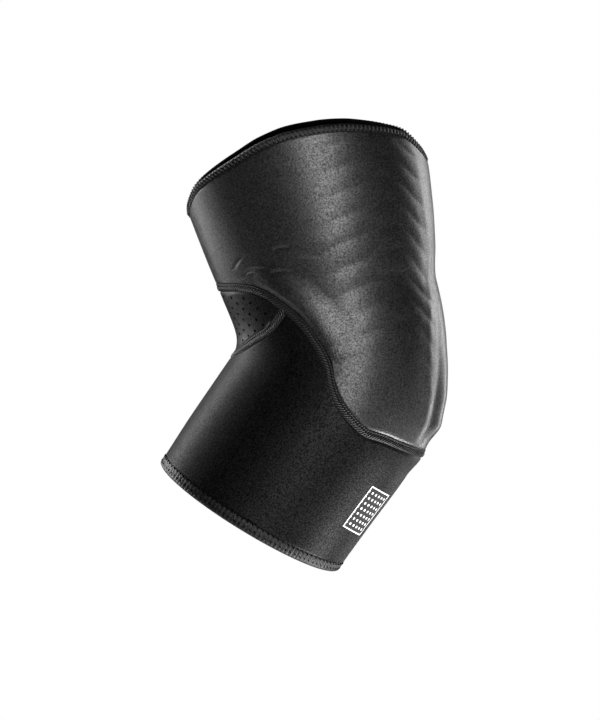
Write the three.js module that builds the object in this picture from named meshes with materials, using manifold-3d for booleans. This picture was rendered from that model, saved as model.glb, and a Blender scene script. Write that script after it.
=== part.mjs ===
// A pull-on elbow brace of 3 mm sponge rubber faced with knitted fabric, in the shape it has on a bent arm.
// Millimetres, +Z up. The arm bends in the XZ plane: the crook of the elbow faces -X and its point faces +X.
// The origin is where the elbow joint sits, in the middle of the hollow halfway round the bend.
//
// Two numbers place everything on the skin of the sleeve:
//   around  degrees round the arm: 0 at the point of the elbow, 90 on the -Y side, 180 in the crook
//   place   1 at the top rim, 0 where the bend starts, -1 where it ends, -2 at the bottom rim
import * as THREE from "three";
import { mergeVertices } from "three/addons/utils/BufferGeometryUtils.js";
import Module from "manifold-3d";

const wasm = await Module();
wasm.setup();

// The arm that the sleeve is shaped to
const UPPER_LEAN = 14.6; // degrees by which the upper arm leans towards the crook
const BEND = 49; // degrees from the upper arm to the forearm
const CROOK_RADIUS = 16.3; // of the fold in the crook
const ELBOW_DEPTH = 99.6; // crook to point, outside
const ELBOW_WIDTH = 84; // side to side, outside
const UPPER_REACH = 61; // bend to top rim, at the front and the back
const LOWER_REACH = 57.6; // bend to bottom rim, at the front and the back
const TOP_FRONT_FLARE = 7.4; // how much further forward the top rim stands than the crook
const TOP_BACK_FLARE = 10.2; // how much further back the top rim stands than the point
const TOP_SIDE_FLARE = 5.5; // how much further out each side of the top rim stands
const BOTTOM_SIDE_TAPER = 1.5; // how much further in each side of the bottom rim stands

// Bottom rim
const BOTTOM_RISE = 4.4; // how far the sides arch below the front and the back
const BOTTOM_SLANT = 2.6; // how far the back is above the middle height
const ARCH_SOFTNESS = 0.15; // rounds the dip where two arches meet, as a share of a quarter turn

// Cloth
const WALL = 3;
const GAP = 0.4; // between pieces that are sewn together
const PAD_RISE = 4.6; // how far the moulded pad stands over the point of the elbow
const PAD_EDGE = 12; // degrees over which the pad slopes away
const RIB_PITCH = 11.5;
const RIB_DEPTH = 1.1;
const RIB_FADE = 6; // how far from a seam or a rim the ribs run out
const PAD_FADE = 3.5; // and how far from the long seam the pad does

// Trims
const TOP_BINDING_WIDTH = 3.6;
const BOTTOM_BINDING_WIDTH = 5.4;
const BINDING_THICKNESS = 0.8;
const BINDING_ROUNDING = 1.5;
const BINDING_PROUD = 0.2; // how far a trim stands over the cloth that it is sunk in
const SEAM_PROUD = 0.3;
const SEAM_WIDTH = 4.2;
const SEAM_THICKNESS = 0.7;
const SEAM_BEVEL = 0.6;

// Air holes in the crook
const HOLE_RADIUS = 0.6;
const HOLE_SPACING = 7; // along a row
const HOLE_ROW_PITCH = 6.6; // from row to row
const HOLE_MARGIN = 4.6; // from a seam to the nearest hole
const HOLE_SIDES = 5;

// Fineness of the faceted solids
const SKIN_COLUMNS = 38;
const ROWS_PER_RIB = 3;
const UPPER_LINING_ROWS = 8;
const LOWER_ROWS = 6;
const LOWER_LINING_ROWS = 5;
const VENT_ROWS = 3;
const SEAM_STEPS_BACK = 19; // along the long seam, from the point of the elbow to the corner of the vent
const SEAM_STEPS_FRONT = 9; // and from that corner to the middle of the crook

// How the arm's girth changes: shares of the flares above, the taper's share in the last column
const SECTIONS = [
  { place: -2.6, front: 0, back: -0.1, side: 0, taper: 1.4 },
  { place: -2, front: 0.05, back: -0.05, side: 0, taper: 1 },
  { place: -1.5, front: 0.14, back: 0.02, side: 0.02, taper: 0.35 },
  { place: -1, front: 0.14, back: 0.12, side: 0, taper: 0.05 },
  { place: -0.5, front: 0.03, back: 0, side: 0, taper: 0 },
  { place: 0, front: 0, back: 0, side: 0.02, taper: 0 },
  { place: 0.3, front: 0.28, back: 0.37, side: 0.3, taper: 0 },
  { place: 0.6, front: 0.62, back: 0.7, side: 0.7, taper: 0 },
  { place: 1, front: 1, back: 1, side: 1, taper: 0 },
  { place: 1.6, front: 1.5, back: 1.1, side: 1.3, taper: 0 },
  { place: 2.2, front: 2, back: 1.15, side: 1.5, taper: 0 },
];

// How far the top rim stands above the place 1, in millimetres
const TOP_RIM = [
  { around: 0, over: -1.5 },
  { around: 15, over: 4.6 },
  { around: 30, over: 13.5 },
  { around: 42, over: 17.6 },
  { around: 52, over: 20.9 },
  { around: 65, over: 24.7 },
  { around: 78, over: 26.9 },
  { around: 92, over: 27.8 },
  { around: 105, over: 26.2 },
  { around: 120, over: 22 },
  { around: 135, over: 17.8 },
  { around: 150, over: 13.2 },
  { around: 165, over: 6.8 },
  { around: 180, over: 1.7 },
];

// The long seam: low across the point of the elbow, then up both sides and over the crook
const LONG_SEAM = [
  { around: 0, place: -0.846 },
  { around: 50, place: -0.852 },
  { around: 64, place: -0.868 },
  { around: 74, place: -0.838 },
  { around: 85, place: -0.76 },
  { around: 91.5, place: -0.655 },
  { around: 97, place: -0.465 },
  { around: 102, place: -0.325 },
  { around: 106.5, place: -0.19 },
  { around: 111, place: -0.03 },
  { around: 116, place: 0.085 },
  { around: 121, place: 0.17 },
  { around: 127, place: 0.26 },
  { around: 136, place: 0.33 },
  { around: 152, place: 0.37 },
  { around: 180, place: 0.385 },
];

// The short seam under the vent, from the corner where it leaves the long seam
const VENT_CORNER = 117.5;
const VENT_SEAM = [
  { around: 117.5, place: 0.115 },
  { around: 121, place: 0.083 },
  { around: 127, place: 0.022 },
  { around: 135, place: -0.065 },
  { around: 146, place: -0.195 },
  { around: 159, place: -0.42 },
  { around: 170, place: -0.66 },
  { around: 180, place: -0.76 },
];

// The ribs' lines round the arm: rise in rib pitches, and strength as a share of the rib depth
const RIB_LINE = [
  { around: 0, rise: -1.5, strength: 0 },
  { around: 15, rise: -1.45, strength: 0.1 },
  { around: 25, rise: -1.2, strength: 0.5 },
  { around: 32, rise: -0.8, strength: 0.6 },
  { around: 40, rise: -0.15, strength: 0.6 },
  { around: 48, rise: 0.3, strength: 0.5 },
  { around: 56, rise: 0.42, strength: 0.4 },
  { around: 72, rise: 0.28, strength: 0.4 },
  { around: 82, rise: 0.18, strength: 0.4 },
  { around: 90, rise: 0.02, strength: 0.3 },
  { around: 100, rise: 0.1, strength: 0.2 },
  { around: 112, rise: 0.5, strength: 0.1 },
  { around: 130, rise: 1, strength: 0 },
  { around: 180, rise: 1.2, strength: 0 },
];
// Where the ribs run out towards the forearm
const RIBS_FULL_ABOVE = -0.1;
const RIBS_NONE_BELOW = -0.5;

// The pad down the back: half its width in degrees, and its height as a share of PAD_RISE
const PAD = [
  { place: -1, reach: 20, height: 0.5 },
  { place: -0.82, reach: 24, height: 0.9 },
  { place: -0.7, reach: 26, height: 1 },
  { place: -0.58, reach: 27, height: 0.9 },
  { place: -0.45, reach: 26, height: 0.6 },
  { place: -0.3, reach: 25, height: 0.3 },
  { place: 0, reach: 24, height: 0.2 },
  { place: 0.3, reach: 22, height: 0.2 },
  { place: 0.6, reach: 20, height: 0.15 },
  { place: 1, reach: 18, height: 0.1 },
];

// Folds of the upper cloth over the vent: where each starts and ends, its half width and its depth
const FOLDS = [
  { fromAround: 134, fromPlace: 0.44, toAround: 120, toPlace: 0.345, width: 3.2, depth: 1.4 },
  { fromAround: 120, fromPlace: 0.345, toAround: 108, toPlace: 0.16, width: 3.4, depth: 2 },
  { fromAround: 108, fromPlace: 0.16, toAround: 99, toPlace: -0.04, width: 3, depth: 1.2 },
  { fromAround: 140, fromPlace: 0.53, toAround: 125, toPlace: 0.5, width: 2, depth: 0.8 },
];

const { degToRad, lerp, clamp, smoothstep } = THREE.MathUtils;
const BEND_TURN = degToRad(BEND);
const MID_RADIUS = CROOK_RADIUS + ELBOW_DEPTH / 2;

// A smooth curve through one column of a table, which neither overshoots a row nor slopes at either end.
function curveThrough(rows, key, column) {
  const x = rows.map((row) => row[key]);
  const y = rows.map((row) => row[column]);
  const slopes = x.slice(1).map((next, i) => (y[i + 1] - y[i]) / (next - x[i]));
  const tangents = x.map((_, i) => {
    if (i === 0 || i === x.length - 1) return 0;
    const product = slopes[i - 1] * slopes[i];
    return product <= 0 ? 0 : (2 * product) / (slopes[i - 1] + slopes[i]);
  });
  return (at) => {
    const inside = clamp(at, x[0], x[x.length - 1]);
    let i = 0;
    while (i < x.length - 2 && inside > x[i + 1]) i += 1;
    const span = x[i + 1] - x[i];
    const t = (inside - x[i]) / span;
    const back = 1 - t;
    return (
      y[i] * back * back * (1 + 2 * t) +
      y[i + 1] * t * t * (3 - 2 * t) +
      tangents[i] * span * t * back * back -
      tangents[i + 1] * span * t * t * back
    );
  };
}

const frontShare = curveThrough(SECTIONS, "place", "front");
const backShare = curveThrough(SECTIONS, "place", "back");
const sideShare = curveThrough(SECTIONS, "place", "side");
const taperShare = curveThrough(SECTIONS, "place", "taper");
const topRimOver = curveThrough(TOP_RIM, "around", "over");
const longSeam = curveThrough(LONG_SEAM, "around", "place");
const ventSeam = curveThrough(VENT_SEAM, "around", "place");
const ribRise = curveThrough(RIB_LINE, "around", "rise");
const ribStrength = curveThrough(RIB_LINE, "around", "strength");
const padReach = curveThrough(PAD, "place", "reach");
const padHeight = curveThrough(PAD, "place", "height");

// The angle from the point of the elbow, the same on both sides: 0 to 180.
const foldedAngle = (around) => Math.abs(((((around + 180) % 360) + 360) % 360) - 180);

// Directions of the section at a place: backward across the arm and upward along it.
function sectionFrame(place) {
  const lean = degToRad(UPPER_LEAN) + clamp(place, -1, 0) * BEND_TURN;
  return {
    backward: new THREE.Vector3(Math.cos(lean), 0, Math.sin(lean)),
    upward: new THREE.Vector3(-Math.sin(lean), 0, Math.cos(lean)),
  };
}

// The line that the bend turns about, in front of the crook
const PIVOT = sectionFrame(-0.5).backward.multiplyScalar(-MID_RADIUS);

function skinPoint(around, place) {
  const { backward, upward } = sectionFrame(place);
  const along = Math.max(place, 0) * UPPER_REACH + Math.min(place + 1, 0) * LOWER_REACH;
  const front = CROOK_RADIUS - TOP_FRONT_FLARE * frontShare(place);
  const back = CROOK_RADIUS + ELBOW_DEPTH + TOP_BACK_FLARE * backShare(place);
  const halfWidth =
    ELBOW_WIDTH / 2 + TOP_SIDE_FLARE * sideShare(place) - BOTTOM_SIDE_TAPER * taperShare(place);
  const turn = degToRad(around);
  return new THREE.Vector3(0, -halfWidth * Math.sin(turn), 0)
    .addScaledVector(backward, (front + back) / 2 + ((back - front) / 2) * Math.cos(turn))
    .addScaledVector(upward, along)
    .add(PIVOT);
}

// How the skin runs at a spot: a step per degree round the arm, a step per unit of place, and outward.
function skinSlopes(around, place) {
  const smallTurn = 0.05;
  const smallPlace = 0.0005;
  const perDegree = skinPoint(around + smallTurn, place)
    .sub(skinPoint(around - smallTurn, place))
    .divideScalar(2 * smallTurn);
  const perPlace = skinPoint(around, place + smallPlace)
    .sub(skinPoint(around, place - smallPlace))
    .divideScalar(2 * smallPlace);
  const outward = perPlace.clone().cross(perDegree).normalize();
  return { perDegree, perPlace, outward };
}

// A point over the skin (height above 0) or inside the wall (height below 0).
function overSkin({ around, place }, height) {
  return skinPoint(around, place).addScaledVector(skinSlopes(around, place).outward, height);
}

// The spot reached by a short step along the skin.
function stepOnSkin(spot, step) {
  const { perDegree, perPlace } = skinSlopes(spot.around, spot.place);
  const dd = perDegree.dot(perDegree);
  const pp = perPlace.dot(perPlace);
  const dp = perDegree.dot(perPlace);
  const ds = perDegree.dot(step);
  const ps = perPlace.dot(step);
  const whole = dd * pp - dp * dp;
  return {
    around: spot.around + (ds * pp - ps * dp) / whole,
    place: spot.place + (ps * dd - ds * dp) / whole,
  };
}

// A line on the skin moved sideways by an even distance, towards the forearm if that is above 0.
function beside(line, distance, closed) {
  const points = line.map(({ around, place }) => skinPoint(around, place));
  const last = line.length - 1;
  return line.map((spot, i) => {
    const before = points[i > 0 ? i - 1 : closed ? last : 0];
    const after = points[i < last ? i + 1 : closed ? 0 : last];
    const outward = skinSlopes(spot.around, spot.place).outward;
    const sides = [points[i].clone().sub(before), after.clone().sub(points[i])]
      .filter((run) => run.length() > 0)
      .map((run) => outward.clone().cross(run).normalize());
    const side = sides[0].clone().add(sides[sides.length - 1]);
    return stepOnSkin(spot, side.multiplyScalar((2 * distance) / side.lengthSq()));
  });
}

// A whole ring from its half on the -Y side, which runs from 0 to 180 degrees.
function mirroredRing(half) {
  const other = half.slice(1, -1).reverse();
  return [...half, ...other.map(({ around, place }) => ({ around: 360 - around, place }))];
}

// Evenly spaced spots on a line given as place by angle.
function evenSpots(placeAt, from, to, steps) {
  const fine = 240;
  const spots = Array.from({ length: fine + 1 }, (_, i) => {
    const around = lerp(from, to, i / fine);
    return { around, place: placeAt(around) };
  });
  const reach = [0];
  for (let i = 1; i <= fine; i += 1) {
    const [a, b] = [spots[i - 1], spots[i]];
    const run = skinPoint(b.around, b.place).distanceTo(skinPoint(a.around, a.place));
    reach.push(reach[i - 1] + run);
  }
  return Array.from({ length: steps + 1 }, (_, k) => {
    const wanted = (reach[fine] * k) / steps;
    const i = clamp(reach.findIndex((r) => r >= wanted - 1e-9), 1, fine);
    const t = (wanted - reach[i - 1]) / (reach[i] - reach[i - 1]);
    const around = lerp(spots[i - 1].around, spots[i].around, t);
    return { around, place: placeAt(around) };
  });
}

const topRim = (around) => 1 + topRimOver(foldedAngle(around)) / UPPER_REACH;

function bottomRim(around) {
  const sine = Math.sin(degToRad(around));
  const highest = Math.hypot(1, ARCH_SOFTNESS) - ARCH_SOFTNESS;
  const arch = (Math.hypot(sine, ARCH_SOFTNESS) - ARCH_SOFTNESS) / highest;
  const under = BOTTOM_RISE * arch - BOTTOM_SLANT * Math.cos(degToRad(around));
  return -2 - under / LOWER_REACH;
}

// The lines that the pieces are cut to
const seamBack = evenSpots(longSeam, 0, VENT_CORNER, SEAM_STEPS_BACK);
const seamFront = evenSpots(longSeam, VENT_CORNER, 180, SEAM_STEPS_FRONT);
const cornerPlace = longSeam(VENT_CORNER);
const ventShift = cornerPlace - ventSeam(VENT_CORNER);
const ventSeamFromCorner = (around) =>
  ventSeam(around) + (ventShift * (180 - around)) / (180 - VENT_CORNER);
const ventFront = evenSpots(ventSeamFromCorner, VENT_CORNER, 180, SEAM_STEPS_FRONT);
const longSeamRing = mirroredRing([...seamBack, ...seamFront.slice(1)]);
const forearmRing = mirroredRing([...seamBack, ...ventFront.slice(1)]);
const halfSteps = SEAM_STEPS_BACK + SEAM_STEPS_FRONT;
const topRimRing = mirroredRing(evenSpots(topRim, 0, 180, halfSteps));
const bottomRimRing = mirroredRing(evenSpots(bottomRim, 0, 180, halfSteps));

// Distance from the long seam up to a spot, square to the seam.
function aboveSeam(around, place) {
  const angle = foldedAngle(around);
  const spread = 1;
  const { perDegree, perPlace } = skinSlopes(around, place);
  const slope = (longSeam(angle + spread) - longSeam(angle - spread)) / (2 * spread);
  const run = perDegree.length();
  const rise = slope * perPlace.length();
  return ((place - longSeam(angle)) * perPlace.length() * run) / Math.hypot(run, rise);
}

// Length along the skin from the start of the bend, which the ribs are counted by.
const lengthPerPlace = (around, place) =>
  place >= 0
    ? UPPER_REACH
    : BEND_TURN * (MID_RADIUS + (ELBOW_DEPTH / 2) * Math.cos(degToRad(around)));
const ribNumber = (around, place) =>
  (place * lengthPerPlace(around, place)) / RIB_PITCH - ribRise(foldedAngle(around));
function placeOfRib(around, number) {
  const length = (number + ribRise(foldedAngle(around))) * RIB_PITCH;
  return length / lengthPerPlace(around, length);
}

// How far the folds draw the cloth in at a spot.
function foldDepth(angle, place) {
  const draws = FOLDS.map(({ fromAround, fromPlace, toAround, toPlace, width, depth }) => {
    const middle = skinSlopes((fromAround + toAround) / 2, (fromPlace + toPlace) / 2);
    const scale = new THREE.Vector2(middle.perDegree.length(), middle.perPlace.length());
    const run = new THREE.Vector2(toAround - fromAround, toPlace - fromPlace).multiply(scale);
    const away = new THREE.Vector2(angle - fromAround, place - fromPlace).multiply(scale);
    const share = clamp(away.dot(run) / run.lengthSq(), 0, 1);
    return depth * Math.exp(-((away.addScaledVector(run, -share).length() / width) ** 2));
  });
  return Math.max(...draws);
}

// How far the moulded ribs and pad stand over the skin of the upper piece.
function relief(around, place) {
  const angle = foldedAngle(around);
  const belowRim = (topRim(around) - place) * UPPER_REACH - TOP_BINDING_WIDTH;
  const fromSeam = aboveSeam(around, place) - SEAM_WIDTH / 2;
  const strength = ribStrength(angle) * smoothstep(place, RIBS_NONE_BELOW, RIBS_FULL_ABOVE);
  const ribs = strength * smoothstep(fromSeam, 0, RIB_FADE) * smoothstep(belowRim, 0, RIB_FADE);
  const wave = 0.5 + 0.5 * Math.cos(2 * Math.PI * ribNumber(around, place));
  const reach = padReach(place);
  const pad = padHeight(place) * (1 - smoothstep(angle, reach - PAD_EDGE, reach));
  const raised = RIB_DEPTH * ribs * wave + PAD_RISE * pad * smoothstep(fromSeam, 0, PAD_FADE);
  return raised - foldDepth(angle, place);
}

// One closed body through a run of loops of points. A ring joins its last loop to its first.
function bodyThrough(loops, ring) {
  const size = loops[0].length;
  const points = loops.flat();
  const faces = [];
  const bands = ring ? loops.length : loops.length - 1;
  for (let i = 0; i < bands; i += 1) {
    const here = i * size;
    const there = ((i + 1) % loops.length) * size;
    for (let j = 0; j < size; j += 1) {
      const k = (j + 1) % size;
      faces.push([here + j, there + j, there + k], [here + j, there + k, here + k]);
    }
  }
  if (!ring) {
    const end = (loops.length - 1) * size;
    for (let j = 1; j < size - 1; j += 1) {
      faces.push([0, j, j + 1], [end, end + j + 1, end + j]);
    }
  }
  const geometry = new THREE.BufferGeometry().setFromPoints(points);
  geometry.setIndex(faces.flat());
  return facingOut(geometry);
}

// The geometry with its equal points merged, its collapsed faces dropped and its faces turned outward.
function facingOut(geometry) {
  const merged = mergeVertices(geometry, 1e-4);
  const [a, b, c] = [new THREE.Vector3(), new THREE.Vector3(), new THREE.Vector3()];
  const index = merged.index.array;
  const kept = [];
  let volume = 0;
  for (let i = 0; i < index.length; i += 3) {
    const [p, q, r] = index.slice(i, i + 3);
    if (p === q || q === r || r === p) continue;
    kept.push([p, q, r]);
    a.fromBufferAttribute(merged.attributes.position, p);
    b.fromBufferAttribute(merged.attributes.position, q);
    c.fromBufferAttribute(merged.attributes.position, r);
    volume += a.dot(b.cross(c));
  }
  merged.setIndex(kept.map((face) => (volume > 0 ? face : [...face].reverse())).flat());
  return merged;
}

function toSolid(geometry) {
  const vertProperties = new Float32Array(geometry.attributes.position.array);
  const triVerts = new Uint32Array(geometry.index.array);
  return new wasm.Manifold(new wasm.Mesh({ numProp: 3, vertProperties, triVerts }));
}

function toGeometry(solid) {
  const mesh = solid.getMesh();
  return new THREE.BufferGeometry()
    .setAttribute("position", new THREE.BufferAttribute(mesh.vertProperties, 3))
    .setIndex(new THREE.BufferAttribute(mesh.triVerts, 1));
}

// Evenly spaced lines of spots from one line to another.
const linesBetween = (top, bottom, rows) =>
  Array.from({ length: rows + 1 }, (_, k) =>
    top.map((spot, i) => ({
      around: lerp(spot.around, bottom[i].around, k / rows),
      place: lerp(spot.place, bottom[i].place, k / rows),
    })),
  );

// A wall through layers from its top edge to its bottom edge, each a line at a height over the skin,
// and back up along the lining.
function wall(layers, { liningRows, depth = WALL, ring = true }) {
  const ends = [layers[layers.length - 1].line, layers[0].line];
  const lining = linesBetween(...ends, liningRows).map((line) => ({ line, height: -depth }));
  const all = [...layers, ...lining];
  const loops = layers[0].line.map((_, i) => all.map(({ line, height }) => overSkin(line[i], height)));
  return bodyThrough(loops, ring);
}

const atHeight = (height) => (line) => ({ line, height });

// The ribbed sleeve of the upper arm, longer than it is cut to at both ends, its rows along the ribs.
function ribbedSleeve() {
  const crowding = 20;
  const columns = Array.from({ length: SKIN_COLUMNS }, (_, i) => {
    const share = i / SKIN_COLUMNS;
    return 360 * share - crowding * Math.sin(2 * Math.PI * share);
  });
  const spare = 1;
  const first = Math.ceil(Math.max(...columns.map((a) => ribNumber(a, topRim(a)))) + spare);
  const last = Math.floor(
    Math.min(...columns.map((a) => ribNumber(a, longSeam(foldedAngle(a))))) - spare,
  );
  const rows = (first - last) * ROWS_PER_RIB;
  const loops = columns.map((around) => {
    const spotAt = (share) => ({ around, place: placeOfRib(around, lerp(first, last, share)) });
    const outside = Array.from({ length: rows + 1 }, (_, k) => {
      const spot = spotAt(k / rows);
      return overSkin(spot, relief(spot.around, spot.place));
    });
    const inside = Array.from({ length: UPPER_LINING_ROWS + 1 }, (_, k) =>
      overSkin(spotAt(1 - k / UPPER_LINING_ROWS), -WALL),
    );
    return [...outside, ...inside];
  });
  return bodyThrough(loops, true);
}

// The floors that the trims lie on, and how far from their own lines the panels reach and are sunk
const SEAM_FLOOR = SEAM_PROUD - SEAM_THICKNESS - GAP;
const RIM_FLOOR = BINDING_PROUD - BINDING_THICKNESS - GAP;
const SEAM_SHOULDER = SEAM_WIDTH / 2 + GAP;
const RIM_EDGE = BINDING_THICKNESS + GAP;

function upperPanel() {
  const clear = 4;
  const rimShoulder = beside(topRimRing, TOP_BINDING_WIDTH + GAP, true);
  const seamShoulder = beside(longSeamRing, -SEAM_SHOULDER, true);
  const layers = [
    ...[beside(topRimRing, RIM_EDGE, true), rimShoulder].map(atHeight(RIM_FLOOR)),
    ...linesBetween(rimShoulder, seamShoulder, LOWER_ROWS).map(atHeight(PAD_RISE + clear)),
    ...[seamShoulder, beside(longSeamRing, -GAP / 2, true)].map(atHeight(SEAM_FLOOR)),
  ];
  const cutRegion = wall(layers, { liningRows: LOWER_ROWS, depth: WALL + clear });
  return toGeometry(toSolid(ribbedSleeve()).intersect(toSolid(cutRegion)));
}

function lowerPanel() {
  const rimShoulder = beside(bottomRimRing, -BOTTOM_BINDING_WIDTH - GAP, true);
  const seamShoulder = beside(forearmRing, SEAM_SHOULDER, true);
  const layers = [
    ...[beside(forearmRing, GAP / 2, true), seamShoulder].map(atHeight(SEAM_FLOOR)),
    ...linesBetween(seamShoulder, rimShoulder, LOWER_ROWS).map(atHeight(0)),
    ...[rimShoulder, beside(bottomRimRing, -RIM_EDGE, true)].map(atHeight(RIM_FLOOR)),
  ];
  return wall(layers, { liningRows: LOWER_LINING_ROWS });
}

// The spot a given distance down the arm from another.
function downArm({ around, place }, distance) {
  const steps = 16;
  let at = place;
  for (let i = 0; i < steps; i += 1) {
    at -= distance / steps / skinSlopes(around, at).perPlace.length();
  }
  return { around, place: at };
}

// Staggered rows of air holes that follow the long seam over the crook.
function airHoles() {
  const placeAt = (around) => longSeam(foldedAngle(around));
  const fine = evenSpots(placeAt, VENT_CORNER, 360 - VENT_CORNER, 120);
  const ends = fine.map(({ around, place }) => skinPoint(around, place));
  const length = ends.slice(1).reduce((sum, end, i) => sum + end.distanceTo(ends[i]), 0);
  const steps = 2 * Math.floor(length / HOLE_SPACING);
  const spots = evenSpots(placeAt, VENT_CORNER, 360 - VENT_CORNER, steps);
  const rows = Math.floor(length / HOLE_ROW_PITCH);
  return Array.from({ length: rows }, (_, row) => row).flatMap((row) =>
    spots
      .filter((_, i) => i % 2 === row % 2)
      .map((spot) => downArm(spot, HOLE_MARGIN + row * HOLE_ROW_PITCH))
      .filter((spot) => downArm(spot, HOLE_MARGIN).place > ventSeamFromCorner(foldedAngle(spot.around))),
  );
}

const mirror = ({ around, place }) => ({ around: 360 - around, place });
const bothSides = (half) => [...half, ...half.slice(0, -1).reverse().map(mirror)];

function ventPanel() {
  const top = bothSides(seamFront);
  const bottom = bothSides(ventFront);
  const inset = beside([...top, ...bottom.slice(1, -1).reverse()], GAP / 2, true);
  const insetTop = inset.slice(0, top.length);
  const corners = [insetTop[0], insetTop[top.length - 1]];
  const insetBottom = [corners[0], ...inset.slice(top.length).reverse(), corners[1]];
  const layers = linesBetween(insetTop, insetBottom, VENT_ROWS).map(atHeight(0));
  const body = toSolid(wall(layers, { liningRows: VENT_ROWS, ring: false }));
  const sunk = body.subtract(seamGroove(top)).subtract(seamGroove(bottom));
  const pierced = (solid, spot) => solid.subtract(holeCutter(spot));
  return toGeometry(airHoles().reduce(pierced, sunk));
}

function holeCutter(spot) {
  const cutter = new THREE.CylinderGeometry(HOLE_RADIUS, HOLE_RADIUS, WALL * 3, HOLE_SIDES);
  const up = new THREE.Vector3(0, 1, 0);
  const { outward } = skinSlopes(spot.around, spot.place);
  cutter.applyQuaternion(new THREE.Quaternion().setFromUnitVectors(up, outward));
  const middle = overSkin(spot, -WALL / 2);
  cutter.translate(middle.x, middle.y, middle.z);
  cutter.deleteAttribute("normal");
  cutter.deleteAttribute("uv");
  return toSolid(facingOut(cutter));
}

// A strip that follows a line on the skin, given by the corners of its section: across and height.
function strip(line, corners, ring) {
  const lanes = corners.map(({ across }) => beside(line, across, ring));
  const loops = line.map((_, i) => corners.map(({ height }, k) => overSkin(lanes[k][i], height)));
  return bodyThrough(loops, ring);
}

// The room that a seam is sunk in, where it borders the vent.
function seamGroove(line) {
  const open = WALL;
  const corners = [
    { across: -SEAM_SHOULDER, height: SEAM_FLOOR },
    { across: -SEAM_SHOULDER, height: open },
    { across: SEAM_SHOULDER, height: open },
    { across: SEAM_SHOULDER, height: SEAM_FLOOR },
  ];
  return toSolid(strip(line, corners, false));
}

// A folded edge: over the outside, round the raw edge and back along the lining.
// inward is 1 where the panel lies below the rim and -1 where it lies above.
function binding(rimRing, width, inward) {
  const over = BINDING_PROUD;
  const lining = -WALL - GAP;
  const under = lining - BINDING_THICKNESS;
  const section = [
    [width, over - BINDING_THICKNESS],
    [width, over],
    [BINDING_ROUNDING, over],
    [0, over - BINDING_ROUNDING],
    [0, under],
    [width, under],
    [width, lining],
    [BINDING_THICKNESS, lining],
    [BINDING_THICKNESS, over - BINDING_THICKNESS],
  ];
  return strip(rimRing, section.map(([into, height]) => ({ across: into * inward, height })), true);
}

const SEAM_SECTION = [
  { across: -SEAM_WIDTH / 2, height: SEAM_PROUD - SEAM_THICKNESS },
  { across: -SEAM_WIDTH / 2 + SEAM_BEVEL, height: SEAM_PROUD },
  { across: SEAM_WIDTH / 2 - SEAM_BEVEL, height: SEAM_PROUD },
  { across: SEAM_WIDTH / 2, height: SEAM_PROUD - SEAM_THICKNESS },
];

// The short seam starts just clear of the long one.
function ventSeamStrip() {
  const fine = 60;
  const longSpots = evenSpots(longSeam, 0, 180, 4 * fine);
  const longPoints = longSpots.map(({ around, place }) => skinPoint(around, place));
  const start = evenSpots(ventSeamFromCorner, VENT_CORNER, 180, fine).find(({ around, place }) => {
    const point = skinPoint(around, place);
    return longPoints.every((other) => other.distanceTo(point) > SEAM_WIDTH + GAP);
  });
  const half = evenSpots(ventSeamFromCorner, start.around, 180, SEAM_STEPS_FRONT);
  return strip(bothSides(half), SEAM_SECTION, false);
}

// Finishes, one for each kind of cloth
const ribbedCloth = new THREE.MeshStandardMaterial({ color: 0x2c2c2e, roughness: 0.75, metalness: 0 });
const smoothCloth = new THREE.MeshStandardMaterial({ color: 0x1f1f21, roughness: 0.8, metalness: 0 });
const ventCloth = new THREE.MeshStandardMaterial({ color: 0x242426, roughness: 0.85, metalness: 0 });
const edgeTape = new THREE.MeshStandardMaterial({ color: 0x19191b, roughness: 0.8, metalness: 0 });
const seamThread = new THREE.MeshStandardMaterial({ color: 0x303033, roughness: 0.7, metalness: 0 });

const brace = new THREE.Group();
brace.name = "elbow_brace";
const pieces = [
  ["upper_panel", upperPanel(), ribbedCloth],
  ["lower_panel", lowerPanel(), smoothCloth],
  ["vent_panel", ventPanel(), ventCloth],
  ["top_binding", binding(topRimRing, TOP_BINDING_WIDTH, 1), edgeTape],
  ["bottom_binding", binding(bottomRimRing, BOTTOM_BINDING_WIDTH, -1), edgeTape],
  ["elbow_seam", strip(longSeamRing, SEAM_SECTION, true), seamThread],
  ["vent_seam", ventSeamStrip(), seamThread],
];
for (const [name, geometry, material] of pieces) {
  const mesh = new THREE.Mesh(geometry, material);
  mesh.name = name;
  brace.add(mesh);
}

export default brace;
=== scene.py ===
"""Looks of the pull-on elbow brace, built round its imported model. Blender 4.5.

The shape is worked out in millimetres, in the frame's axes, and turned to metres when a mesh is made.
Two numbers place everything on the skin of the sleeve:
  around  degrees round the arm: 0 at the point of the elbow, 90 on the -Y side, 180 in the crook
  place   1 at the top rim, 0 where the bend starts, -1 where it ends, -2 at the bottom rim
"""

import math

import bmesh
import bpy
import numpy as np
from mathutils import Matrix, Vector

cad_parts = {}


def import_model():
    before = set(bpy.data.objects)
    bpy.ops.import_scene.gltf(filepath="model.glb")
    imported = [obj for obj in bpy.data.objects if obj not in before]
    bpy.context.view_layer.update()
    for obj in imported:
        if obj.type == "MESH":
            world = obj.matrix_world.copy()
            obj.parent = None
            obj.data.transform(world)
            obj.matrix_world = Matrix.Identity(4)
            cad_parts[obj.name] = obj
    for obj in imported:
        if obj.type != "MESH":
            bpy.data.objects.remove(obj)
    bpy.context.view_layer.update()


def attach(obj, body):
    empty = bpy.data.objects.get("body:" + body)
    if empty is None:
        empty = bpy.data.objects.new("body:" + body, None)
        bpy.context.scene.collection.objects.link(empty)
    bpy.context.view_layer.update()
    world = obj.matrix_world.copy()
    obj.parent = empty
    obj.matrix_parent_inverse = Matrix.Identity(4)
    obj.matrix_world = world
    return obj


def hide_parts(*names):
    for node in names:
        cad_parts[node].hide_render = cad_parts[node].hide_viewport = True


MM = 0.001
BODY = "root"

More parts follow.
